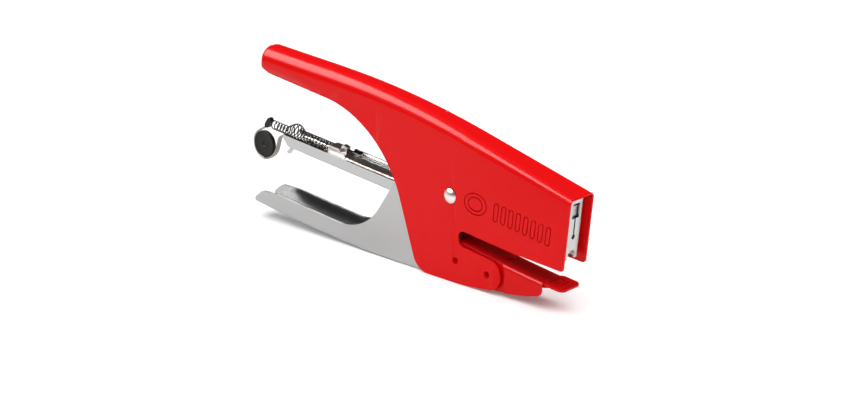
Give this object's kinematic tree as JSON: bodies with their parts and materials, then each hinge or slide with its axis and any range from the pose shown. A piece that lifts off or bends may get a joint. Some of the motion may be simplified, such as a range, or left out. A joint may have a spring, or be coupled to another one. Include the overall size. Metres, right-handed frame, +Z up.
{
  "type": "hand plier stapler",
  "caption": "Hand plier stapler: folded sheet shell with an anvil arm, a channel lever that squeezes up, a hinged staple magazine and a sprung pusher with a rear roller clip.",
  "frame": {"origin": "middle of the overall box at the height the stapler stands on", "axes": "+X toward the stapling nose, +Y toward the far side, +Z up as it stands on its lever"},
  "size_m": [0.1764, 0.0164, 0.0758],
  "materials": {
    "red_enamel": "gloss enamel",
    "red_enamel_anvil": "gloss enamel",
    "red_rivet": "enamel",
    "bright_pin": "polished",
    "spring_wire": "drawn wire",
    "plated_lever": "satin plated",
    "cross_pin": "ground",
    "ground_driver": "ground",
    "plated_magazine": "satin plated",
    "turned_sleeve": "turned",
    "bright_rail": "bright plated",
    "staple_wire": "bright wire",
    "satin_front_plate": "satin",
    "grey_strip": "satin strip",
    "black_roller": "moulded",
    "black_cap": "moulded",
    "blued_spring": "blued wire",
    "dark_pusher": "blackened",
    "rod_steel": "drawn"
  },
  "bodies": {
    "body": {"shell": "red_enamel", "anvil_arm": "red_enamel_anvil", "clinch_plate": "red_enamel_anvil", "rivet_rear": "red_rivet", "rivet_front": "red_rivet", "main_pin": "bright_pin", "return_spring": "spring_wire"},
    "lever": {"lever": "plated_lever", "lever_bar": "cross_pin", "driver_pin": "cross_pin"},
    "driver": {"driver": "ground_driver"},
    "magazine": {"magazine": "plated_magazine", "pivot_sleeve": "turned_sleeve", "staple_rail": "bright_rail", "staple_strip": "staple_wire", "front_plate": "satin_front_plate"},
    "loader": {"rear_clip": "grey_strip", "roller": "black_roller", "spring_cap": "black_cap", "feed_spring": "blued_spring"},
    "pusher": {"pusher": "dark_pusher", "pusher_stem": "rod_steel"}
  },
  "joints": [
    {"name": "lever_squeeze", "type": "hinge", "parent": "body", "child": "lever", "pos_m": [0.03033, 0, 0.0349], "axis": [0, 1, 0], "range_deg": [0, 16], "stiffness_Nm_per_rad": 1.2, "springref_deg": -14.32, "deforming": ["return_spring"]},
    {"name": "magazine_dip", "type": "hinge", "parent": "body", "child": "magazine", "pos_m": [0.03033, 0, 0.0349], "axis": [0, 1, 0], "range_deg": [0, 10]},
    {"name": "driver_tilt", "type": "hinge", "parent": "lever", "child": "driver", "pos_m": [0.08083, 0, 0.03438], "axis": [0, 1, 0], "range_deg": [-6, 0]},
    {"name": "loader_pull", "type": "slide", "parent": "magazine", "child": "loader", "axis": [-0.9951, 0, 0.0993], "range_m": [0, 0.06]},
    {"name": "pusher_feed", "type": "slide", "parent": "loader", "child": "pusher", "axis": [-0.9951, 0, 0.0993], "range_m": [0, 0.014], "stiffness_N_per_m": 40, "springref_m": -0.03, "deforming": ["feed_spring"]}
  ],
  "couplings": [
    {"joint": "magazine_dip", "follows": "lever_squeeze", "ratio": 0.625},
    {"joint": "driver_tilt", "follows": "lever_squeeze", "ratio": -0.375}
  ]
}
